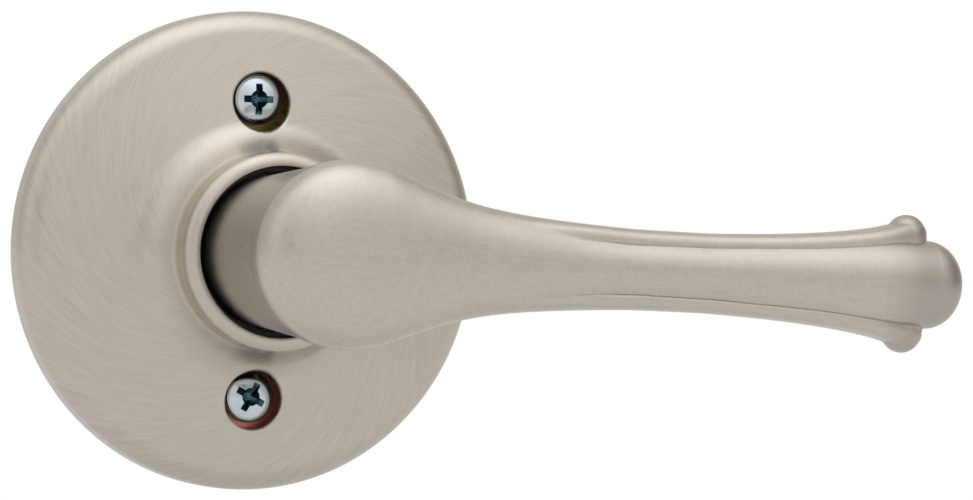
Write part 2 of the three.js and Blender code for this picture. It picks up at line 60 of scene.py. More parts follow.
def bezier(p0, p1, p2, p3, steps):
    """Profile points on a cubic curve, its first point left out."""
    points = []
    for t in np.linspace(0, 1, steps + 1)[1:]:
        k = ((1 - t) ** 3, 3 * (1 - t) ** 2 * t, 3 * (1 - t) * t * t, t ** 3)
        points.append(tuple(sum(w * p[i] for w, p in zip(k, (p0, p1, p2, p3))) for i in (0, 1)))
    return points


def smooth_curve(table, at):
    """Rows of a table read as a smooth curve: monotone cubic in each column, along the first one.

    A curve that starts at 0 starts level, so that its mirror image joins it smoothly.
    """
    table = np.array(table, float)
    x, rows = table[:, 0], table[:, 1:]
    step = np.diff(x)[:, None]
    slope = np.diff(rows, axis=0) / step
    usable = np.where(slope == 0, 1, slope)
    before, after = step[:-1], step[1:]
    weights = (2 * after + before) / usable[:-1] + (after + 2 * before) / usable[1:]
    inner = np.where(slope[:-1] * slope[1:] > 0, (before + after) * 3 / weights, 0)
    first = slope[:1] * 0 if x[0] == 0 else slope[:1]
    tangent = np.vstack([first, inner, slope[-1:]])
    at = np.asarray(at, float)
    i = np.clip(np.searchsorted(x, at) - 1, 0, len(x) - 2)
    t = ((at - x[i]) / step[i, 0])[:, None]
    h00, h10 = 2 * t ** 3 - 3 * t ** 2 + 1, t ** 3 - 2 * t ** 2 + t
    h01, h11 = -2 * t ** 3 + 3 * t ** 2, t ** 3 - t ** 2
    return h00 * rows[i] + h10 * step[i] * tangent[i] + h01 * rows[i + 1] + h11 * step[i] * tangent[i + 1]


def new_object(name, points, faces, crease=30):
    """A smooth-shaded mesh from millimetre points, with edges sharper than the crease angle kept sharp."""
    mesh = bpy.data.meshes.new(name)
    mesh.from_pydata((np.asarray(points, float) * MM).tolist(), [], faces)
    build = bmesh.new()
    build.from_mesh(mesh)
    bmesh.ops.recalc_face_normals(build, faces=build.faces)
    build.to_mesh(mesh)
    build.free()
    shade(mesh, crease)
    piece = bpy.data.objects.new(name, mesh)
    bpy.context.scene.collection.objects.link(piece)
    return piece


def shade(mesh, crease=30):
    mesh.polygons.foreach_set("use_smooth", [True] * len(mesh.polygons))
    mesh.set_sharp_from_angle(angle=math.radians(crease))


def finish_piece(piece, material, slot, body, *nodes):
    """Gives a piece its material, lets it ride on its body, and hides the CAD nodes it stands for."""
    if not any(piece.data.materials):
        piece.data.materials.clear()
        piece.data.materials.append(material)
    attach(piece, body)
    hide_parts(*nodes)
    return piece


def band(first, second):
    """Faces between two closed loops of points."""
    count = len(first)
    return [(first[j], first[(j + 1) % count], second[(j + 1) % count], second[j]) for j in range(count)]


def lathe(name, profile, sides=192, centre=(0, 0), crease=30):
    """A profile turned about the Y axis. It closes on itself unless it starts and ends on the axis."""
    on_axis = profile[0][0] == 0 and profile[-1][0] == 0
    rings = profile[1:-1] if on_axis else profile
    angles = np.linspace(0, 2 * math.pi, sides, endpoint=False)
    around = [(math.cos(a), math.sin(a)) for a in angles]
    points = [(centre[0] + r * c, -d, centre[1] + r * s) for r, d in rings for c, s in around]
    faces = []
    bands = len(rings) - 1 if on_axis else len(rings)
    for i in range(bands):
        low, high = i * sides, (i + 1) % len(rings) * sides
        faces += band(range(low, low + sides), range(high, high + sides))
    if on_axis:
        for ring, depth in ((0, profile[0][1]), (len(rings) - 1, profile[-1][1])):
            pole = len(points)
            points.append((centre[0], -depth, centre[1]))
            faces += [(pole, ring * sides + j, ring * sides + (j + 1) % sides) for j in range(sides)]
    return new_object(name, points, faces, crease)


def softened(profile, radius, steps=3):
    """A profile with its corners rounded. The ends of one that starts on the axis are left alone."""
    closed = profile[0][0] != 0
    points = []
    for i, corner in enumerate(profile):
        if not closed and i in (0, len(profile) - 1):
            points.append(corner)
            continue
        before, here, after = (np.array(profile[k % len(profile)], float) for k in (i - 1, i, i + 1))
        reach = [np.linalg.norm(end - here) for end in (before, after)]
        cut = min(radius, 0.4 * min(reach))
        start, end = here + (before - here) / reach[0] * cut, here + (after - here) / reach[1] * cut
        for t in np.linspace(0, 1, steps + 1):
            points.append(tuple((1 - t) ** 2 * start + 2 * t * (1 - t) * here + t * t * end))
    return points


def ring_outline(inner, outer, back, front):
    return [(inner, back), (outer, back), (outer, front), (inner, front)]


def rod_outline(radius, back, front):
    return [(0, back), (radius, back), (radius, front), (0, front)]


def across(piece, depth):
    """Lays a piece that was turned about Y along X, at a depth."""
    turn = Matrix.Rotation(math.pi / 2, 4, "Z")
    piece.data.transform(Matrix.Translation(Vector((0, -depth, 0)) * MM) @ turn)
    return piece


def block(name, low, high):
    """A box between two corners (x, depth, z)."""
    xs, ds, zs = zip(low, high)
    points = [(x, -d, z) for x in xs for d in ds for z in zs]
    faces = [(0, 1, 3, 2), (4, 6, 7, 5), (0, 4, 5, 1), (2, 3, 7, 6), (0, 2, 6, 4), (1, 5, 7, 3)]
    return new_object(name, points, faces)


def combine(piece, tool, operation="DIFFERENCE"):
    """Cuts a tool from a piece, or joins it on, and removes the tool."""
    change = piece.modifiers.new("combine", "BOOLEAN")
    change.operation = operation
    change.object = tool
    change.solver = "MANIFOLD"
    bake(piece)
    bpy.data.objects.remove(tool)
    return piece


def bevel(piece, width, angle=35):
    """Rounds the edges that are sharper than an angle."""
    change = piece.modifiers.new("bevel", "BEVEL")
    change.width = width * MM
    change.segments = 2
    change.limit_method = "ANGLE"
    change.angle_limit = math.radians(angle)
    bake(piece)
    return piece


def bake(piece, crease=30):
    """Applies a piece's modifiers to its mesh."""
    bpy.context.view_layer.update()
    graph = bpy.context.evaluated_depsgraph_get()
    mesh = bpy.data.meshes.new_from_object(piece.evaluated_get(graph))
    piece.modifiers.clear()
    piece.data = mesh
    shade(mesh, crease)


# ---- Materials ----
USUAL_NOISE = 0.3, 0.7  # the range that most of a noise texture's values lie in


class Nodes:
    """Adds nodes to the node tree of a material or a world."""

    def __init__(self, owner):
        owner.use_nodes = True
        self.tree = owner.node_tree

    def feed(self, socket, value):
        """Links another node's output to a socket, or sets the socket to a plain value."""
        if isinstance(value, bpy.types.NodeSocket):
            self.tree.links.new(value, socket)
        else:
            socket.default_value = value

    def node(self, kind, settings=(), **inputs):
        """Adds a node. An input is named by its label, or by i0, i1 and so on for its place in the list."""
        made = self.tree.nodes.new("ShaderNode" + kind)
        for key, value in dict(settings).items():
            setattr(made, key, value)
        for key, value in inputs.items():
            socket = made.inputs[int(key[1:])] if key[0] == "i" and key[1:].isdigit() else made.inputs[key]
            self.feed(socket, value)
        return made

    def math(self, operation, *values):
        inputs = {f"i{i}": value for i, value in enumerate(values)}
        return self.node("Math", {"operation": operation}, **inputs).outputs[0]


class Shader(Nodes):
    """A node material round one Principled shader."""

    def __init__(self, name, metallic, roughness, anisotropy=0.0):
        self.material = bpy.data.materials.new(name)
        super().__init__(self.material)
        self.bsdf = self.tree.nodes["Principled BSDF"]
        self.bsdf.inputs["Metallic"].default_value = metallic
        self.bsdf.inputs["Roughness"].default_value = roughness
        self.bsdf.inputs["Anisotropic"].default_value = anisotropy

    def place(self):
        return self.node("TexCoord").outputs["Object"]

    def noise(self, vector, scale, detail=3.0, rough=0.5):
        made = self.node("TexNoise", Vector=vector, Scale=scale, Detail=detail, Roughness=rough)
        return made.outputs["Fac"]

    def stretched(self, vector, factors):
        return self.node("Mapping", Vector=vector, Scale=factors).outputs["Vector"]

    def spread(self, value, low, high):
        """Maps a noise value from its usual range to low..high."""
        return self.ranged(value, USUAL_NOISE, (low, high))

    def share(self, value, start, end):
        """Goes smoothly from 0 where a value is at its start to 1 where it is at its end."""
        return self.ranged(value, (start, end), (0.0, 1.0), "SMOOTHSTEP")

    def ranged(self, value, source, target, interpolation="LINEAR"):
        """Maps a value from one range to another."""
        made = self.node("MapRange", {"interpolation_type": interpolation}, Value=value)
        for key, number in zip(("From Min", "From Max", "To Min", "To Max"), (*source, *target)):
            made.inputs[key].default_value = number
        return made.outputs["Result"]

    def blend(self, factor, first, second):
        """Mixes two colours: the first where the factor is 0 and the second where it is 1."""
        made = self.node("Mix", {"data_type": "RGBA"})
        for place, value in ((0, factor), (6, first), (7, second)):
            self.feed(made.inputs[place], value)
        return made.outputs[2]

    def mottled(self, factor, dark, light):
        """A colour that a noise value moves between two tones."""
        return self.blend(self.spread(factor, 0.0, 1.0), dark, light)

    def colour(self, value):
        self.feed(self.bsdf.inputs["Base Color"], value)

    def roughness(self, value):
        self.feed(self.bsdf.inputs["Roughness"], value)

    def bump(self, height, strength, distance_mm, under=None):
        """Raises the surface by a value, on top of another bump if one is given."""
        made = self.node("Bump", Strength=strength, Distance=distance_mm * MM, Height=height)
        if under:
            self.feed(made.inputs["Normal"], under)
        self.feed(self.bsdf.inputs["Normal"], made.outputs["Normal"])
        return made.outputs["Normal"]


NICKEL_LIGHT = linear(211, 204, 194)
NICKEL_DARK = linear(199, 192, 180)
NICKEL_PAINTED_HIGHLIGHT = linear(236, 230, 220)  # painted highlight on the collar's wall, just under its lip
NICKEL_PAINTED_SHADE = linear(172, 167, 158)  # painted shade on the neck and the bulb
# Each painted highlight or painted shade sets in between two places: the object's own X or Y, or radii about
# its Y axis.
PAINTED_HIGHLIGHT_RADII = 14.2 * MM, 13.8 * MM
PAINTED_HIGHLIGHT_Y = -17.2 * MM, -16.0 * MM
NECK_SHADE_Y = -45.2 * MM, -44.4 * MM  # the neck's painted shade stops here, at the front edge of the hub
NECK_SHADE_X = 18 * MM, 4 * MM
NECK_SHADE_GROWS_Y = -20 * MM, -38 * MM  # the painted shade grows from half strength near the rose to full strength near the hub
# The bulb's painted shade sets in between these two X and reaches this share of the neck's full strength.
BULB_SHADE_X = 75.5 * MM, 83 * MM
BULB_SHADE_SHARE = 0.7
PAINTED_SHADE_STRENGTH = 0.92


def swirled_nickel():
    """Satin nickel buffed in short spiral strokes about the lever's axis, with a painted highlight on the
    collar's wall just under its lip.
    """
    s = Shader("satin_nickel_swirled", 1.0, 0.33, 0.35)
    place = s.place()
    axes = s.node("SeparateXYZ", i0=place)
    x, z = axes.outputs["X"], axes.outputs["Z"]
    radius = s.math("SQRT", s.math("ADD", s.math("MULTIPLY", x, x), s.math("MULTIPLY", z, z)))
    unit = 10 * MM  # radii are counted in this unit before their logarithm is taken
    log_radius = s.math("LOGARITHM", s.math("MAXIMUM", s.math("DIVIDE", radius, unit), 0.01), math.e)
    pitch = 1.6  # how steeply the strokes spiral
    turn = s.math("ADD", s.math("ARCTAN2", z, x), s.math("MULTIPLY", log_radius, pitch))
    strokes_around, strokes_outward = 55.0, 9.0
    stroke = s.node("CombineXYZ",
                    i0=s.math("MULTIPLY", s.math("COSINE", turn), strokes_around),
                    i1=s.math("MULTIPLY", s.math("SINE", turn), strokes_around),
                    i2=s.math("MULTIPLY", log_radius, strokes_outward)).outputs[0]
    fine = s.noise(stroke, 1.0, 2.0, 0.6)
    broad = s.noise(stroke, 0.22, 2.0, 0.5)
    cloud = s.noise(place, 90.0, 3.0)
    # Painted highlight: the collar's wall just under its lip is coloured paler.
    wall = s.math("MULTIPLY", s.share(axes.outputs["Y"], *PAINTED_HIGHLIGHT_Y), s.share(radius, *PAINTED_HIGHLIGHT_RADII))
    s.colour(s.blend(wall, s.mottled(fine, NICKEL_DARK, NICKEL_LIGHT), NICKEL_PAINTED_HIGHLIGHT))
    s.roughness(s.math("ADD", s.spread(fine, 0.27, 0.36), s.spread(cloud, -0.02, 0.03)))
    first = s.bump(fine, 0.16, 0.02)
    s.bump(broad, 0.09, 0.06, first)
    tangent = s.node("Tangent", {"direction_type": "RADIAL", "axis": "Y"}).outputs[0]
    s.feed(s.bsdf.inputs["Tangent"], tangent)
    return s.material


def grained_nickel():
    """Satin nickel with a fine grain along the lever, and painted shade on the neck and the bulb."""
    s = Shader("satin_nickel_grained", 1.0, 0.32)
    place = s.place()
    axes = s.node("SeparateXYZ", i0=place).outputs
    grain = s.noise(s.stretched(place, (0.12, 1.0, 1.0)), 3000.0, 2.0, 0.5)
    mottle = s.noise(place, 1500.0, 2.0, 0.5)
    cloud = s.noise(place, 70.0, 3.0)
    mixed = s.math("MULTIPLY", s.math("ADD", grain, mottle), 0.5)

    # Painted shade: the neck darkens up to the hub's front edge, more so near the hub, and the bulb darkens
    # too.
    neck = s.math("MULTIPLY", s.share(axes["Y"], *NECK_SHADE_Y), s.share(axes["X"], *NECK_SHADE_X))
    shade_growth = s.math("MULTIPLY_ADD", s.share(axes["Y"], *NECK_SHADE_GROWS_Y), 0.5, 0.5)
    bulb = s.math("MULTIPLY", s.share(axes["X"], *BULB_SHADE_X), BULB_SHADE_SHARE)
    painted_shade = s.math("MULTIPLY", s.math("MAXIMUM", s.math("MULTIPLY", neck, shade_growth), bulb), PAINTED_SHADE_STRENGTH)
    s.colour(s.blend(painted_shade, s.mottled(mixed, NICKEL_DARK, NICKEL_LIGHT), NICKEL_PAINTED_SHADE))
    s.roughness(s.math("ADD", s.spread(grain, 0.27, 0.35), s.spread(cloud, -0.02, 0.03)))
    s.bump(grain, 0.04, 0.01)
    return s.material


def bright_zinc():
    """Clear blue-white zinc plate, a little uneven."""
    s = Shader("bright_zinc_plate", 1.0, 0.2)
    place = s.place()
    cloud = s.noise(place, 350.0, 3.0)
    fine = s.noise(place, 2500.0, 2.0)
    s.colour(s.mottled(cloud, linear(206, 218, 226), linear(228, 234, 238)))
    s.roughness(s.spread(cloud, 0.15, 0.26))
    s.bump(fine, 0.1, 0.01)
    return s.material


def painted_shade_zinc():
    """The zinc inside a cross recess, with painted shade: darker and bluer."""
    s = Shader("recess_painted_shade_zinc", 1.0, 0.22)
    place = s.place()
    cloud = s.noise(place, 900.0, 3.0)
    s.colour(s.mottled(cloud, linear(42, 74, 84), linear(96, 128, 136)))
    s.roughness(s.spread(cloud, 0.16, 0.3))
    s.bump(s.noise(place, 3000.0, 2.0), 0.15, 0.01)
    return s.material


def yellow_chromate():
    """Iridescent yellow chromate. The film drained downwards, so its colours change from top to bottom."""
    s = Shader("yellow_chromate", 0.7, 0.28)
    place = s.place()
    drift = s.spread(s.noise(place, 70.0, 2.0, 0.5), -0.12, 0.12)
    fine = s.noise(place, 900.0, 3.0, 0.6)
    height = s.node("SeparateXYZ", i0=place).outputs["Z"]
    top, bottom = 24 * MM, -24 * MM
    film = s.math("ADD", s.ranged(height, (top, bottom), (0.15, 0.8)), drift)
    ramp = s.node("ValToRGB", Fac=film)
    stops = ((0.08, (196, 104, 84)), (0.24, (172, 176, 96)), (0.42, (222, 184, 104)), (0.58, (214, 160, 96)),
             (0.76, (240, 142, 134)), (0.94, (190, 186, 120)))
    elements = ramp.color_ramp.elements
    while len(elements) < len(stops):
        elements.new(0.5)
    for element, (position, rgb) in zip(elements, stops):
        element.position = position
        element.color = linear(*rgb)
    s.colour(ramp.outputs["Color"])
    s.roughness(s.spread(fine, 0.24, 0.38))
    s.bump(fine, 0.08, 0.01)
    return s.material


def cast_zinc():
    """Bare zinc die casting: dull, with a fine pebble and darker clouds."""
    s = Shader("bare_zinc_casting", 1.0, 0.5)
    place = s.place()
    cloud = s.noise(place, 150.0, 4.0, 0.6)
    pebble = s.noise(place, 1800.0, 3.0, 0.6)
    s.colour(s.mottled(cloud, linear(138, 140, 141), linear(176, 178, 178)))
    s.roughness(s.spread(pebble, 0.42, 0.6))
    s.bump(pebble, 0.25, 0.03)
    return s.material


def spring_steel():
    """Drawn spring wire and blued stampings."""
    s = Shader("spring_steel", 1.0, 0.34)
    place = s.place()
    cloud = s.noise(place, 240.0, 3.0)
    fine = s.noise(place, 3000.0, 2.0)
    s.colour(s.mottled(cloud, linear(92, 94, 98), linear(140, 142, 146)))
    s.roughness(s.spread(cloud, 0.28, 0.42))
    s.bump(fine, 0.12, 0.01)
    return s.material


def nylon(name, dark, light):
    """Moulded nylon with a faint satin texture."""
    s = Shader(name, 0.0, 0.5)
    place = s.place()
    cloud = s.noise(place, 200.0, 3.0)
    texture = s.noise(place, 2600.0, 3.0)
    s.colour(s.mottled(cloud, linear(*dark), linear(*light)))
    s.roughness(s.spread(texture, 0.42, 0.58))
    s.bump(texture, 0.2, 0.015)
    return s.material


ROSE_METAL = swirled_nickel()
LEVER_METAL = grained_nickel()
ZINC = bright_zinc()
RECESS_PAINTED_SHADE = painted_shade_zinc()
CHROMATE = yellow_chromate()
CASTING = cast_zinc()
STEEL = spring_steel()
# Black nylon for the bushing, whose black also stands in for the shade in the gap round the neck.
BLACK_NYLON_AND_GAP_SHADE = nylon("black_nylon", (14, 14, 15), (24, 24, 25))
WHITE = nylon("white_nylon", (206, 203, 194), (226, 224, 216))

# ---- Dimensions shared with the frame ----
SCREW_SPREAD = 20.65  # from the axis to each screw hole
SCREW_LIFT = 0.4  # how far above the middle of its hole in the rose each screw sits
SCREW_ANGLES = {"upper": 0.0, "lower": 28.0}  # how far each screw's cross is turned, in degrees


# ---- Rose ----
ROSE_SIDES = 288
HOLE_RADIUS = 4.15
HOLE_EDGE = 0.28  # radius of the rounding round each hole
PATCH_OUTER = 26.6  # the ring of the grid nearest to this radius bounds the patches round the holes
PATCH_INNER = 15.0  # and so does the ring nearest to this one
HOLE_RINGS = 14
EDGE_RINGS = 5
RING_CROWDING = 1.6  # above 1, the rings lie closer together near the hole


def polar(radius, turn, depth):
    return (radius * math.cos(turn), -depth, radius * math.sin(turn))


def index(ring, step):
    """Which point of the turned grid lies at a ring and a step round it."""
    return ring * ROSE_SIDES + step % ROSE_SIDES


def depth_at(profile, radius):
    """A profile's depth at a radius, where its radii shrink from first to last."""
    profile = np.array(profile)
    return float(np.interp(-radius, -profile[:, 0], profile[:, 1]))


def hole_steps(rounded):
    """For each ring round a hole: its share of the way in, and its drop, as a share of the edge's radius."""
    steps = [(1 - (1 - t) ** RING_CROWDING, 0.0) for t in np.linspace(0, 1, HOLE_RINGS + 1)[1:]]
    if rounded:
        quarter = np.linspace(0, math.pi / 2, EDGE_RINGS + 1)[1:]
        steps += [(1.0 + math.sin(a), 1 - math.cos(a)) for a in quarter]
    return steps


def pierced_face(profile, rounded):
    """A sheet turned about the axis with the two screw holes in it.

    The profile's radii shrink from first to last. Round each hole a patch of the turned grid gives way to
    rings that run from the patch's outline to the hole. Returns points, faces, and the points on each rim.
    """
    radii = np.array([r for r, _ in profile])
    turns = np.linspace(0, 2 * math.pi, ROSE_SIDES, endpoint=False)
    points = [polar(r, a, d) for r, d in profile for a in turns]
    outer = int(np.argmin(abs(radii - PATCH_OUTER)))
    inner = int(np.argmin(abs(radii - PATCH_INNER)))
    half = ROSE_SIDES // 20
    centres = {1: ROSE_SIDES // 4, -1: 3 * ROSE_SIDES // 4}
    faces = []
    for i in range(len(profile) - 1):
        for j in range(ROSE_SIDES):
            held = any(middle - half <= j < middle + half for middle in centres.values())
            if not (held and outer <= i < inner):
                faces.append((index(i, j), index(i, j + 1), index(i + 1, j + 1), index(i + 1, j)))
    rims = {}
    for side, middle in centres.items():
        outline = [index(outer, j) for j in range(middle - half, middle + half)]
        outline += [index(i, middle + half) for i in range(outer, inner)]
        outline += [index(inner, j) for j in range(middle + half, middle - half, -1)]
        outline += [index(i, middle - half) for i in range(inner, outer, -1)]
        hole = Vector((0, side * SCREW_SPREAD))
        spokes = [Vector((points[k][0], points[k][2])) - hole for k in outline]
        edge = HOLE_EDGE if rounded else 0.0
        rings = [outline]
        for share, drop in hole_steps(rounded):
            ring = []
            for spoke in spokes:
                if share <= 1:
                    reach = spoke.length + (HOLE_RADIUS + edge - spoke.length) * share
                else:
                    reach = HOLE_RADIUS + edge * (2 - share)
                spot = hole + spoke.normalized() * reach
                points.append((spot.x, -depth_at(profile, spot.length) + edge * drop, spot.y))
                ring.append(len(points) - 1)
            rings.append(ring)
        for a, b in zip(rings, rings[1:]):
            faces += band(a, b)
        rims[side] = rings[-1]
    return points, faces, rims


RIM_RADIUS = 33.3
SHEET = 1.0  # thickness of the metal at the rim and the shoulder
SHOULDER = (29.8, 2.6)  # the middle of the rounded shoulder
SHOULDER_RADIUS = 3.5
FOOT = (18.4, 8.17)  # where the coned face meets the collar
WAIST = (13.98, 13.05)  # where the collar's sweep turns into its wall
FOOT_INSIDE = (18.4, 7.15)
WAIST_INSIDE = (13.35, 12.3)
SHELL_EDGE_INSIDE = (30.2, 5.05)


def rose_outside():
    """The cover's outer profile, from the door to the inside of the lip."""
    shoulder = arc(*SHOULDER, SHOULDER_RADIUS, 0, 80.2, 22)
    start = shoulder[-1]
    face = [(r, depth_at((start, FOOT), r)) for r in np.linspace(start[0], FOOT[0], 24)]
    sweep = bezier(FOOT, (16.23, 8.55), (14.78, 11.4), WAIST, 34)
    wall = bezier(WAIST, (13.82, 13.38), (13.75, 13.85), (13.75, 14.4), 8) + [(13.75, 15.7), (13.75, 16.95)]
    rim = [(RIM_RADIUS, 0), (RIM_RADIUS, 0.9), (RIM_RADIUS, 1.8)]
    outside = rim + shoulder + face[1:] + sweep + wall
    lip = arc(12.15, 16.95, 1.6, 4, 90, 16)
    mouth = arc(12.05, 18.25, 0.3, 90, 180, 6) + [(11.75, 17.6), (11.75, 16.9), (12.3, 16.6)]
    return outside, lip + mouth


def rose_inside(outside):
    """The cover's inner profile. Round the screw holes it has the same radii as the outside."""
    edge, foot = SHELL_EDGE_INSIDE, FOOT_INSIDE
    face = [(r, foot[1] - (foot[1] - edge[1]) * (r - foot[0]) / (edge[0] - foot[0]))
            for r in np.linspace(foot[0], edge[0], 18)]
    inside = [(12.6, 16.0), (12.75, 15.1), (12.95, 13.8), WAIST_INSIDE]
    inside += bezier(WAIST_INSIDE, (14.2, 10.5), (15.9, 7.5), foot, 20) + face[1:]
    inside += arc(*SHOULDER, SHOULDER_RADIUS - SHEET, 76, 0, 10) + [(RIM_RADIUS - SHEET, 0)]
    inside.reverse()
    low, high = 14.4, 27.2
    middle = [(r, depth_at(inside, r)) for r, _ in outside if low < r < high]
    return [p for p in inside if p[0] > high + 0.3] + middle + [p for p in inside if p[0] < low - 0.2]


def rose_shell():
    """The pressed cover: rim, rounded shoulder, coned face, swept collar and rolled lip."""
    outside, lip = rose_outside()
    inside = rose_inside(outside)
    front, front_faces, front_rims = pierced_face(outside + lip, True)
    back, back_faces, back_rims = pierced_face(inside, False)
    shift = len(front)
    points = front + back
    faces = front_faces + [tuple(k + shift for k in face) for face in back_faces]
    for side in (1, -1):
        faces += band(front_rims[side], [k + shift for k in back_rims[side]])
    last_front = index(len(outside + lip) - 1, 0)
    last_back = shift + index(len(inside) - 1, 0)
    for a, b in ((0, shift), (last_front, last_back)):
        faces += band(range(a, a + ROSE_SIDES), range(b, b + ROSE_SIDES))
    return new_object("rose_shell", points, faces, 32)


# ---- Lever ----
# The lever's outline seen from the front, as x and half height.
OUTLINE = (
    (0, 12.6), (4, 12.1), (8, 10.75), (12, 9.25), (16, 8.05), (20, 7.2), (24, 6.62), (28, 6.22),
    (32.4, 5.9), (36, 5.69), (40, 5.52),
)
# The hub, the crowned panel down the middle of the grip, and the bulb. Each row: x, half height, front depth,
# back depth, squareness of the section.
CORE = (
    (0, 12.6, 51.5, 37.4, 2.9), (4, 12.1, 51.4, 37.8, 2.9), (8, 10.75, 51.1, 38.5, 2.85),
    (12, 9.25, 50.8, 39.2, 2.8), (16, 8.05, 50.5, 39.8, 2.7), (20, 7.0, 50.3, 40.2, 2.6),
    (24, 6.1, 50.15, 40.5, 2.5), (28, 5.45, 50.0, 40.7, 2.4), (32, 4.98, 49.85, 40.9, 2.35),
    (36, 4.65, 49.8, 41.0, 2.3), (41, 4.38, 49.7, 41.0, 2.3), (50, 4.38, 49.7, 40.8, 2.3),
    (59, 4.8, 49.7, 40.43, 2.3), (68.4, 5.36, 49.83, 39.8, 2.3), (75.4, 5.84, 49.9, 39.2, 2.3),
    (80, 6.03, 49.9, 38.7, 2.3), (84.7, 6.05, 49.5, 38.2, 2.3),
)
# Each row: x, inner edge, outer edge, front depth, back depth.
FLANGE = (
    (20, 3.6, 7.2, 48.9, 41.3), (24, 3.2, 6.62, 48.8, 41.3), (28, 2.8, 6.22, 48.7, 41.3),
    (32.4, 2.4, 5.9, 48.6, 41.3), (36, 1.8, 5.69, 48.5, 41.3), (42, 1.4, 5.46, 48.35, 41.3),
    (50, 1.4, 5.43, 48.2, 41.2), (59, 1.7, 5.73, 48.1, 41.0), (66, 2.2, 6.18, 48.1, 40.5),
    (72, 2.7, 6.78, 47.9, 40.2), (76, 3.1, 7.35, 47.55, 40.0), (79, 3.5, 7.95, 47.05, 39.9),
    (81.5, 3.9, 8.65, 46.5, 39.9),
)
LEVER_TIP = 89.7
LEVER_DROOP = 1.38  # degrees that the grip hangs below level at rest
SCROLL_REACH = 3.1  # how far a flange's end curls on past its last row
FLANGE_SQUARENESS = 3.2
ROOT_START = 19.0  # the x where the flanges begin to part from the hub
ROOT_END = 38.0  # and where they stand clear
GROOVE_START = 30.0  # the fine groove between panel and flange
GROOVE_DEPTH = 0.22
GROOVE_WIDTH = 0.11
FAR = 30.0  # beyond anything in a section of the lever
EYE = {"x": 81.9, "depth": 43.2, "z": 6.9, "along": 2.65, "deep": 3.0, "high": 2.6}
EYE_BLEND = 0.1  # how far the scroll and its eye melt together


def flange_rows():
    """The flange's sections from its root to its scroll, whose end closes round."""
    stations = np.linspace(FLANGE[0][0], FLANGE[-1][0], 240)
    rows = [(x, *value) for x, value in zip(stations, smooth_curve(FLANGE, stations))]
    x, inner, outer, front, back = rows[-1]
    middle, half = (inner + outer) / 2, (outer - inner) / 2
    depth, thick = (front + back) / 2, (front - back) / 2
    for turn in np.linspace(0, math.pi / 2, 34)[1:]:
        close = max(math.cos(turn), 1e-3)
        narrow, thin = half * close ** 0.9, thick * close ** 0.8
        rise = middle + 0.35 * math.sin(turn)
        station = x + SCROLL_REACH * math.sin(turn)
        rows.append((station, rise - narrow, rise + narrow, depth + thin, depth - thin))
    return np.array(rows)


def reach_to_oval(turns, centre, middle, half, depth, half_depth, squareness):
    """How far a ray from the section's centre goes to leave an oval, and 0 where it misses."""
    side, out = np.sin(turns), np.cos(turns)
    shape = np.broadcast_shapes(turns.shape, np.shape(middle))

    def measure(r):
        """Less than 1 inside the oval."""
        sideways = np.abs((r * side - middle) / half) ** squareness
        return sideways + np.abs((centre + r * out - depth) / half_depth) ** squareness

    low, high = np.zeros(shape), np.full(shape, FAR)
    for _ in range(70):  # narrows in on the ray's deepest point in the oval
        a, b = low + (high - low) / 3, high - (high - low) / 3
        nearer = measure(a) < measure(b)
        low, high = np.where(nearer, low, a), np.where(nearer, b, high)
    hit = measure(low) < 1
    near, far = low, np.full(shape, FAR)
    for _ in range(50):  # and then on where the ray leaves it
        mid = (near + far) / 2
        kept = measure(mid) < 1
        near, far = np.where(kept, mid, near), np.where(kept, far, mid)
    return np.where(hit, near, 0.0)


def oval(turns, half, half_depth, squareness):
    """How far a ray from the middle of a superellipse goes to leave it."""
    side, out = np.abs(np.sin(turns)) / half, np.abs(np.cos(turns)) / half_depth
    return (side ** squareness + out ** squareness) ** (-1 / squareness)


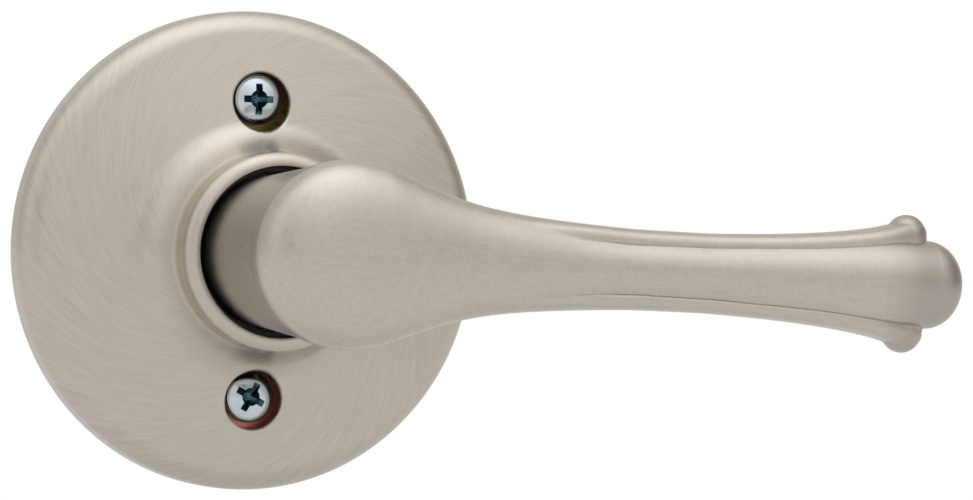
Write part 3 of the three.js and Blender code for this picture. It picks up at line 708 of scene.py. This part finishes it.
def lever_sections():
    """Rings of points round hub, panel, flanges and scrolls, and each ring's x."""
    flange = flange_rows()
    scroll_end = FLANGE[-1][0] + SCROLL_REACH
    x = np.concatenate([np.linspace(0, FLANGE[0][0], 60)[:-1], flange[:, 0], [CORE[-1][0]]])
    half, front, back, squareness = smooth_curve(CORE, x).T[:, :, None]
    centre, half_depth = (front + back) / 2, (front - back) / 2
    turns = np.linspace(0, math.pi, 721)[None, :]
    panel = oval(turns, half, half_depth, squareness)
    plain = oval(turns, smooth_curve(OUTLINE, np.minimum(x, OUTLINE[-1][0])), half_depth, squareness)

    inner, outer, top, under = (np.interp(x, flange[:, 0], flange[:, k])[:, None] for k in range(1, 5))
    ribbon = reach_to_oval(turns, centre, (inner + outer) / 2, (outer - inner) / 2, (top + under) / 2,
                           (top - under) / 2, FLANGE_SQUARENESS)
    swell = np.sqrt(np.maximum(1 - ((x - EYE["x"]) / EYE["along"]) ** 2, 1e-4))[:, None]
    eye = reach_to_oval(turns, centre, EYE["z"], EYE["high"] * swell, EYE["depth"], EYE["deep"] * swell, 2)
    eye[abs(x - EYE["x"]) >= EYE["along"]] = 0
    formed = np.maximum(panel, np.maximum(ribbon, eye))

    # The two edges where a flange meets the panel, as turns.
    clear = (x > ROOT_END) & (x < scroll_end - 1)
    ahead = ribbon[clear] > panel[clear]
    crease = np.interp(x, x[clear], turns[0][np.argmax(ahead, axis=1)])
    rear = np.interp(x, x[clear], math.pi - turns[0][np.argmax(ahead[:, ::-1], axis=1)])

    # Scroll and eye melt together: each ring loses its finest waves.
    round_trip = np.concatenate([formed, formed[:, -2:0:-1]], axis=1)
    waves = np.fft.fftfreq(round_trip.shape[1], 1 / round_trip.shape[1])[None, :]
    kept = np.exp(-0.5 * (waves * EYE_BLEND / half) ** 2)
    melted = np.fft.ifft(np.fft.fft(round_trip, axis=1) * kept, axis=1).real[:, :turns.shape[1]]
    formed = np.where(x[:, None] > EYE["x"] - EYE["along"], melted, formed)

    # The hub's plain oval gives way to panel and flanges, and a groove follows each crease.
    share = np.clip((x - ROOT_START) / (ROOT_END - ROOT_START), 0, 1)[:, None]
    share = share * share * (3 - 2 * share)
    reach = plain + share * (formed - plain)
    at_crease = np.array([np.interp(c, turns[0], r) for c, r in zip(crease, reach)])[:, None]
    depth = GROOVE_DEPTH * np.clip((x - GROOVE_START) / (ROOT_END - GROOVE_START), 0, 1)[:, None]
    depth = depth * np.clip((scroll_end - 1.6 - x) / 2, 0, 1)[:, None]
    reach = reach - depth * np.exp(-(((turns - crease[:, None]) * at_crease / GROOVE_WIDTH) ** 2))

    # More of each ring's points are spent on the creases.
    width = 0.3 / at_crease[:, 0]
    marks = np.array([0 * x, crease - width, crease + width, rear - width, rear + width, 0 * x + math.pi])
    spans = ((0, 44), (1, 14), (2, 52), (3, 8), (4, 34))
    spread = np.concatenate([k + np.arange(count) / count for k, count in spans] + [[5]])
    picked = np.array([np.interp(spread, range(6), row) for row in marks.T])
    reach = np.array([np.interp(p, turns[0], r) for p, r in zip(picked, reach)])
    z, d = reach * np.sin(picked), centre + reach * np.cos(picked)
    z[:, 0] = z[:, -1] = 0
    return x, np.concatenate([z, -z[:, -2:0:-1]], axis=1), np.concatenate([d, d[:, -2:0:-1]], axis=1)


def core_body():
    """The lever's hub, grip and bulb: rings along X, with each end turned about an axis parallel to Y."""
    x, z, d = lever_sections()
    sides, slices = z.shape[1], 72
    points = np.stack([np.broadcast_to(x[:, None], z.shape), -d, z], axis=2).reshape(-1, 3).tolist()

    def ring(i, j):
        return i * sides + j % sides

    faces = [(ring(i, j), ring(i, j + 1), ring(i + 1, j + 1), ring(i + 1, j))
             for i in range(len(x) - 1) for j in range(sides)]
    reach_of = {0: -CORE[0][1], len(x) - 1: LEVER_TIP - CORE[-1][0]}
    for station, reach in reach_of.items():
        half = z[station].max()
        columns = [[ring(station, j) for j in range(sides // 2 + 1)]]
        for turn in np.linspace(0, math.pi, slices + 1)[1:-1]:
            column = [ring(station, 0)]
            for j in range(1, sides // 2):
                out = reach * z[station, j] / half * math.sin(turn)
                points.append((x[station] + out, -d[station, j], z[station, j] * math.cos(turn)))
                column.append(len(points) - 1)
            column.append(ring(station, sides // 2))
            columns.append(column)
        columns.append([ring(station, -j) for j in range(sides // 2 + 1)])
        for a, b in zip(columns, columns[1:]):
            for j in range(sides // 2):
                faces.append(tuple(dict.fromkeys([a[j], a[j + 1], b[j + 1], b[j]])))
    return new_object("lever_core", points, faces, 12)


def neck_body():
    """The neck's flared outside, as a solid."""
    back, flare, front = 13.8, (10.78, 20.4), 42.0
    wall = [(10.1, back), (10.35, 13.88), (10.55, 14.2), (10.6, 14.8), (10.62, 16.5), (10.7, 18.6), flare]
    wall += bezier(flare, (10.95, 23.5), (11.45, 29.5), (11.85, 37.5), 26)
    wall += [(11.95, 40.0), (12.0, front)]
    return lathe("neck", [(0.0, back)] + wall + [(0.0, front)], 240)


def lever_casting():
    """Hub, grip, bulb and hollow neck, with the slot for releasing the catch."""
    lever = core_body()
    lever.data.transform(Matrix.Rotation(math.radians(LEVER_DROOP), 4, "Y"))
    combine(lever, neck_body(), "UNION")
    combine(lever, lathe("bore", [(0, 12), (9.2, 12), (9.2, 32.5), (0, 32.5)], 144))
    combine(lever, release_slot(-8, -14))
    lever.name = "lever_casting"
    shade(lever.data, 14)
    return lever


# ---- Screws ----
SEAT = 3.65  # depth of the face that the heads sit on
HEAD_RADIUS = 3.62
HEAD_HEIGHT = 2.9
DOME_RADIUS = 7.5
SCREW_LENGTH = 50
SHANK_RADIUS = 2.08
THREAD_PITCH = 25.4 / 32
THREAD_HEIGHT = 0.46
RECESS_CONE = (0.5, 1.45)  # radii of the cross recess's centre, at its bottom and at its top
RECESS_REACH = 2.6  # no part of the recess is further out than this
# The cross recess at four levels: height over the crown, half length and half width of a bar.
RECESS_BAR = ((0.4, 2.35, 0.52), (-0.3, 2.16, 0.47), (-1.3, 1.4, 0.38), (-1.9, 0.5, 0.32))


def screw(name, height, turned):
    """A pan-head machine screw: domed head, cross recess, and a thread down to a chamfered tip."""
    crown = SEAT + HEAD_HEIGHT
    dome = arc(0, crown - DOME_RADIUS, DOME_RADIUS, 64, 88, 18)
    side = [(0, SEAT - 1.5), (1.5, SEAT - 1.5), (1.5, SEAT), (HEAD_RADIUS, SEAT), (HEAD_RADIUS, SEAT + 1.7)]
    side = softened(side + [dome[0], (0, crown)], 0.4, 6)
    profile = [p for p in side if p[1] < dome[1][1] - 0.01 and p != (0, crown)] + dome[1:] + [(0, crown)]
    head = lathe(name, profile, 128)
    for k in range(2):
        cross = cross_arm(crown)
        cross.data.transform(Matrix.Rotation(math.radians(90 * k), 4, "Y"))
        combine(head, cross)
    small, large = RECESS_CONE
    cone = [(0, crown - 2.1), (small, crown - 1.8), (large, crown + 0.3), (0, crown + 0.3)]
    combine(head, lathe("cone", cone, 48))
    bevel(head, 0.07, 30)
    mark_recess(head, crown)
    head.data.transform(Matrix.Rotation(math.radians(turned), 4, "Y"))
    join(head, threaded_rod(SEAT - 0.6, SEAT - SCREW_LENGTH, SHANK_RADIUS))
    head.data.transform(Matrix.Translation(Vector((0, 0, height)) * MM))
    return head


def mark_recess(head, crown):
    """Gives the faces inside the cross recess the second material, which paints their shade."""
    head.data.materials.clear()
    head.data.materials.append(ZINC)
    head.data.materials.append(RECESS_PAINTED_SHADE)
    for face in head.data.polygons:
        x, depth, z = face.center.x / MM, -face.center.y / MM, face.center.z / MM
        out = math.hypot(x, z)
        surface = crown - DOME_RADIUS + math.sqrt(DOME_RADIUS ** 2 - min(out, HEAD_RADIUS) ** 2)
        face.material_index = int(out < RECESS_REACH and SEAT < depth < surface - 0.12)


def cross_arm(crown):
    """One bar of the cross recess, narrowing with depth."""
    points, faces = [], []
    for rise, half_length, half_width in RECESS_BAR:
        for sx, sz in ((-1, -1), (1, -1), (1, 1), (-1, 1)):
            points.append((sx * half_length, -(crown + rise), sz * half_width))
    last = len(RECESS_BAR) - 1
    for i in range(last):
        faces += band(range(4 * i, 4 * i + 4), range(4 * i + 4, 4 * i + 8))
    faces += [(0, 1, 2, 3), tuple(range(4 * last, 4 * last + 4))]
    return new_object("arm", points, faces)


def threaded_rod(top, tip, radius):
    """A rod with a helical thread, fading out at both ends."""
    root = radius - THREAD_HEIGHT
    sides = 40
    # One thread's profile: how far along the pitch, and how high.
    crest = [(0.0, 0.0), (0.12, 0.0), (0.42, 1.0), (0.58, 1.0), (0.88, 0.0)]
    turns = int((top - tip) / THREAD_PITCH) - 1
    points, faces, rows = [], [], []
    for t in range(turns * sides + 1):
        angle = 2 * math.pi * t / sides
        base = top - 0.4 - THREAD_PITCH * t / sides
        fade = min(1.0, t / sides, (turns * sides - t) / (1.5 * sides))
        row = []
        for along, height in crest:
            r = root + (radius - root) * height * fade
            points.append((r * math.cos(angle), -(base - THREAD_PITCH * along), r * math.sin(angle)))
            row.append(len(points) - 1)
        rows.append(row)
    for a, b in zip(rows, rows[1:]):
        for j in range(len(crest) - 1):
            faces.append((a[j], b[j], b[j + 1], a[j + 1]))
    for t in range((turns - 1) * sides):
        faces.append((rows[t][-1], rows[t + 1][-1], rows[t + 1 + sides][0], rows[t + sides][0]))
    thread = new_object("thread", points, faces)
    wall = root - 0.02
    core = lathe("core", [(0, tip), (root - 0.5, tip), (wall, tip + 0.7), (wall, top), (0, top)], 48)
    return join(thread, core)


def join(piece, other):
    """Puts another object's mesh into a piece."""
    build = bmesh.new()
    build.from_mesh(piece.data)
    build.from_mesh(other.data)
    build.to_mesh(piece.data)
    build.free()
    bpy.data.objects.remove(other)
    shade(piece.data)
    return piece


# ---- Plate, bearing and drive ----
RIVET_X = 21.0
RIVET_HOLE_RADIUS = 1.7
PIN_DEPTH = 4.0
CATCH_DEPTH = 24.0
# The housing's lugs: two that end the lever's swing, and the spring's stop. Each row: inner radius, outer
# radius, front depth, angle and half width, both in degrees.
LUGS = ((12.3, 13.6, 7.0, 110, 5), (12.3, 13.6, 7.0, 250, 5), (13.8, 15.2, 7.4, 180, 8))


def mounting_plate():
    """A dished disc: a flat web, and a rim that stands on the door."""
    outline = [(10.2, 2), (29.9, 2), (29.9, 0), (31.4, 0), (31.4, 3.5), (10.2, 3.5)]
    plate = lathe("plate", softened(outline, 0.5), 256)
    for side in (1, -1):
        screw_hole, rivet_hole = (rod_outline(radius, 1, 4.5) for radius in (2.38, RIVET_HOLE_RADIUS))
        combine(plate, lathe("screw_hole", screw_hole, 64, (0, side * SCREW_SPREAD + SCREW_LIFT)))
        combine(plate, lathe("rivet_hole", rivet_hole, 64, (side * RIVET_X, 0)))
    return plate


def ring_lug(inner, outer, back, front, angle, half_width):
    """A sector of a ring, centred on an angle in the XZ plane."""
    turns = np.radians(np.linspace(angle - half_width, angle + half_width, 13))
    edges = ((outer, turns), (inner, turns[::-1]))
    corners = [(r * math.cos(a), r * math.sin(a)) for r, run in edges for a in run]
    points = [(x, -d, z) for d in (back, front) for x, z in corners]
    count = len(corners)
    back_ring, front_ring = range(count), range(count, 2 * count)
    faces = band(back_ring, front_ring) + [tuple(back_ring), tuple(front_ring)]
    return new_object("lug", points, faces)


def bearing_housing():
    """The bearing with its flange, its two ears and its three lugs."""
    back, front = 3.8, 4.9
    outline = [(7.45, 0.6), (9.9, 0.6), (9.9, back), (15.4, back)]
    outline += [(15.4, front), (9.9, front), (9.9, 8.8), (7.45, 8.8)]
    housing = lathe("housing", softened(outline, 0.25), 128)
    for side in (1, -1):
        low, high = sorted((side * 13.9, side * 24.2))
        combine(housing, block("ear", (low, back, -3.4), (high, front, 3.4)), "UNION")
        rivet_hole = rod_outline(RIVET_HOLE_RADIUS, 3, 6)
        combine(housing, lathe("rivet_hole", rivet_hole, 48, (side * RIVET_X, 0)))
    for inner, outer, top, angle, half_width in LUGS:
        combine(housing, ring_lug(inner, outer, 4.4, top, angle, half_width), "UNION")
    return bevel(housing, 0.15)


def housing_rivet(side):
    back_head = [(0, 0.8), (2.2, 0.8), (2.6, 1.2), (2.6, 1.7), (1.5, 1.7)]
    front_head = [(1.5, 5.2), (2.6, 5.2), (2.5, 5.7), (1.9, 5.95), (0, 6.0)]
    return lathe("rivet", softened(back_head + front_head, 0.18), 96, (side * RIVET_X, 0))


def release_slot(near, far):
    """The shape of the opening below the axis that the catch reaches through."""
    return block("slot", (-1.6, CATCH_DEPTH - 2.7, far), (1.6, CATCH_DEPTH + 2.7, near))


def cross_hole():
    return across(lathe("cross_hole", rod_outline(1.0, -9, 9), 48), PIN_DEPTH)


def drive_tube():
    flange = [(6, -3), (10.4, -3), (10.4, -0.7), (7.2, -0.7)]
    ring_groove = [(7.2, 10.5), (6.6, 10.5), (6.6, 11.7), (7.2, 11.7)]
    outline = flange + ring_groove + [(7.2, 30.4), (6.8, 31), (6, 31)]
    tube = lathe("tube", softened(outline, 0.2), 160)
    combine(tube, release_slot(-4.7, -9))
    return combine(tube, cross_hole())


def neck_sleeve():
    sleeve = lathe("sleeve", softened(ring_outline(7.4, 9.0, 14.2, 31.5), 0.2), 128)
    return combine(sleeve, release_slot(-6, -11))


def half_round(name, radius, flat, back, front):
    """A rod along Y, cut flat underneath at the height given."""
    bar = lathe(name, softened(rod_outline(radius, back, front), 0.35), 96)
    return combine(bar, block("waste", (-9, back - 1, flat - 9), (9, front + 1, flat)))


def spindle_socket():
    plug = lathe("socket", softened(rod_outline(5.8, -2.7, 11), 0.3), 128)
    combine(plug, half_round("hole", 4.15, -0.7, -6, 9.8))
    combine(plug, cross_hole())
    return bevel(plug, 0.12)


def spindle_bar():
    bar = combine(half_round("bar", 3.95, -0.5, -52, 9.5), cross_hole())
    return bevel(bar, 0.15)


def lever_catch():
    catch = block("catch", (-1.3, CATCH_DEPTH - 2.4, -10.7), (1.3, CATCH_DEPTH + 2.4, -4.2))
    combine(catch, block("foot", (-2.6, CATCH_DEPTH - 3.6, -4.6), (2.6, CATCH_DEPTH + 3.6, -3.4)), "UNION")
    return bevel(catch, 0.2)


# ---- Build the pieces ----
finish_piece(rose_shell(), ROSE_METAL, "satin_nickel", "rose_assembly", "rose_cover")
finish_piece(mounting_plate(), CHROMATE, "yellow_zinc", "rose_assembly", "mounting_plate")
finish_piece(bearing_housing(), CASTING, "cast_zinc", "rose_assembly", "bearing_housing")
for name, side in (("left", -1), ("right", 1)):
    finish_piece(housing_rivet(side), ZINC, "bright_zinc", "rose_assembly", f"housing_rivet_{name}")
for name, side in (("upper", 1), ("lower", -1)):
    made = screw(f"{name}_screw", side * SCREW_SPREAD + SCREW_LIFT, SCREW_ANGLES[name])
    finish_piece(made, ZINC, "bright_zinc", "rose_assembly", f"{name}_mounting_screw")
# The bushing is black nylon, and its black also stands in for the shade in the gap between neck and collar.
bushing = lathe("bushing", softened(ring_outline(10.95, 12.1, 13.6, 16.2), 0.2), 160)
finish_piece(bushing, BLACK_NYLON_AND_GAP_SHADE, "black_nylon", "rose_assembly", "neck_bushing")
washer = lathe("washer", softened(ring_outline(7.45, 10.4, -0.35, 0.3), 0.15), 128)
finish_piece(washer, WHITE, "white_nylon", "rose_assembly", "thrust_washer")

finish_piece(lever_casting(), LEVER_METAL, "satin_nickel", "lever", "lever_handle")
finish_piece(neck_sleeve(), WHITE, "white_nylon", "lever", "neck_sleeve")
finish_piece(drive_tube(), CHROMATE, "yellow_zinc", "lever", "drive_tube")
finish_piece(spindle_socket(), CASTING, "cast_zinc", "lever", "spindle_socket")
finish_piece(spindle_bar(), ZINC, "bright_zinc", "lever", "spindle_bar")
pin = across(lathe("pin", softened(rod_outline(0.8, -6.9, 6.9), 0.15), 64), PIN_DEPTH)
finish_piece(pin, STEEL, "spring_steel", "lever", "spindle_pin")
finish_piece(lever_catch(), STEEL, "spring_steel", "catch", "lever_catch")

# These keep the CAD's own meshes and only take a material.
carried = {CASTING: ("spring_driver",), STEEL: ("return_spring", "snap_ring", "catch_spring")}
for material, nodes in carried.items():
    for node in nodes:
        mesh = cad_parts[node].data
        mesh.materials.clear()
        mesh.materials.append(material)

# ---- Studio ----
FLOOR_HEIGHT = -75.0
FLOOR_REACH = 6000


def pale_floor():
    """A wide floor that the camera sees as white and the handle sees as pale grey."""
    r, z = FLOOR_REACH, FLOOR_HEIGHT
    corners = [(-r, -r, z), (r, -r, z), (r, r, z), (-r, r, z)]
    floor = new_object("studio_floor", corners, [(0, 1, 2, 3)])
    s = Shader("pale_floor", 0.0, 0.9)
    s.bsdf.inputs["Base Color"].default_value = (0.8, 0.8, 0.8, 1)
    white = s.node("Emission", Color=(1, 1, 1, 1))
    seen = s.node("LightPath").outputs["Is Camera Ray"]
    mixed = s.node("MixShader", i0=seen, i1=s.bsdf.outputs[0], i2=white.outputs[0])
    s.feed(s.tree.nodes["Material Output"].inputs["Surface"], mixed.outputs[0])
    floor.data.materials.append(s.material)


WARM = (1.05, 1.0, 0.86)
EVEN = (1.02, 1.0, 1.0)
COOL = (0.97, 0.99, 1.04)
# The soft lights round the handle, each as azimuth, elevation and spread in degrees, brightness and colour.
# Azimuth 0 is straight in front of the rose and 90 is to the right, past the lever's tip.
SOFT_LIGHTS = (
    (0, 90, 26, 1.0, EVEN),  # overhead: the bright upper edges of rose, hub and grip
    (0, 52, 24, 0.55, COOL),  # high in front: carries that brightness down over the roundings
    (45, 52, 24, 0.32, COOL),
    (270, 52, 24, 0.33, COOL),
    (180, 52, 24, 0.1, EVEN),
    (0, 18, 24, 0.35, EVEN),  # level with the handle, all round
    (45, 18, 24, 0.35, EVEN),
    (135, 18, 24, 0.3, WARM),
    (180, 18, 24, 0.3, EVEN),
    (225, 18, 24, 0.2, COOL),
    (270, 18, 24, 0.37, EVEN),
    (315, 18, 24, 0.15, EVEN),
    (0, -18, 26, 0.08, WARM),  # from below the handle, dimmest in front
    (120, -18, 26, 0.25, WARM),
    (180, -18, 26, 0.27, WARM),
    (240, -18, 26, 0.15, WARM),
    (300, -18, 26, 0.3, WARM),
    (0, -90, 50, 0.31, WARM),  # up from the table
)


def toward(azimuth, elevation):
    """The direction to an azimuth and an elevation, in radians."""
    level = math.cos(elevation)
    return Vector((math.sin(azimuth) * level, -math.cos(azimuth) * level, math.sin(elevation)))


def studio_world():
    """Soft surroundings summed from the lights in the table. The camera itself sees plain white."""
    world = bpy.data.worlds.new("studio")
    bpy.context.scene.world = world
    s = Nodes(world)
    direction = s.node("TexCoord").outputs["Generated"]
    lights = []
    for azimuth, elevation, spread, brightness, colour in SOFT_LIGHTS:
        way = toward(math.radians(azimuth), math.radians(elevation))
        facing = s.node("VectorMath", {"operation": "DOT_PRODUCT"}, i0=direction, i1=way).outputs["Value"]
        width = math.radians(spread) ** 2
        glow = s.math("EXPONENT", s.math("MULTIPLY_ADD", facing, 1 / width, -1 / width))
        tint = [brightness * channel for channel in colour]
        lights.append(s.node("VectorMath", {"operation": "SCALE"}, i0=tint, Scale=glow).outputs[0])
    total = lights[0]
    for light in lights[1:]:
        total = s.node("VectorMath", {"operation": "ADD"}, i0=total, i1=light).outputs[0]
    background = s.tree.nodes["Background"]
    s.feed(background.inputs["Color"], total)
    white = s.node("Background", Color=(1, 1, 1, 1))
    seen = s.node("LightPath").outputs["Is Camera Ray"]
    choose = s.node("MixShader", i0=seen, i1=background.outputs[0], i2=white.outputs[0])
    s.feed(s.tree.nodes["World Output"].inputs["Surface"], choose.outputs[0])


CAMERA_AZIMUTH = -20.707  # in degrees, as are the next two
CAMERA_ELEVATION = 0.19
CAMERA_ROLL = 1.619
CAMERA_TARGET = (31.05, -15.0, 1.03)
CAMERA_DISTANCE = 800
LENS = 212.66


def photo_camera():
    """The photo's camera, as far as it could be matched."""
    azimuth, elevation, roll = (math.radians(v) for v in (CAMERA_AZIMUTH, CAMERA_ELEVATION, CAMERA_ROLL))
    target = Vector(CAMERA_TARGET) * MM
    away = toward(azimuth, elevation)
    right = Vector((math.cos(azimuth), math.sin(azimuth), 0))
    up = away.cross(right)
    x_axis = math.cos(roll) * right + math.sin(roll) * up
    y_axis = -math.sin(roll) * right + math.cos(roll) * up
    data = bpy.data.cameras.new("photo_camera")
    data.lens = LENS
    data.sensor_width = 36
    data.clip_end = 100
    camera = bpy.data.objects.new("photo_camera", data)
    rotation = Matrix((x_axis, y_axis, away)).transposed()
    camera.matrix_world = Matrix.Translation(target + away * (CAMERA_DISTANCE * MM)) @ rotation.to_4x4()
    bpy.context.scene.collection.objects.link(camera)
    bpy.context.scene.camera = camera


pale_floor()
studio_world()
photo_camera()
bpy.context.scene.view_settings.view_transform = "Standard"
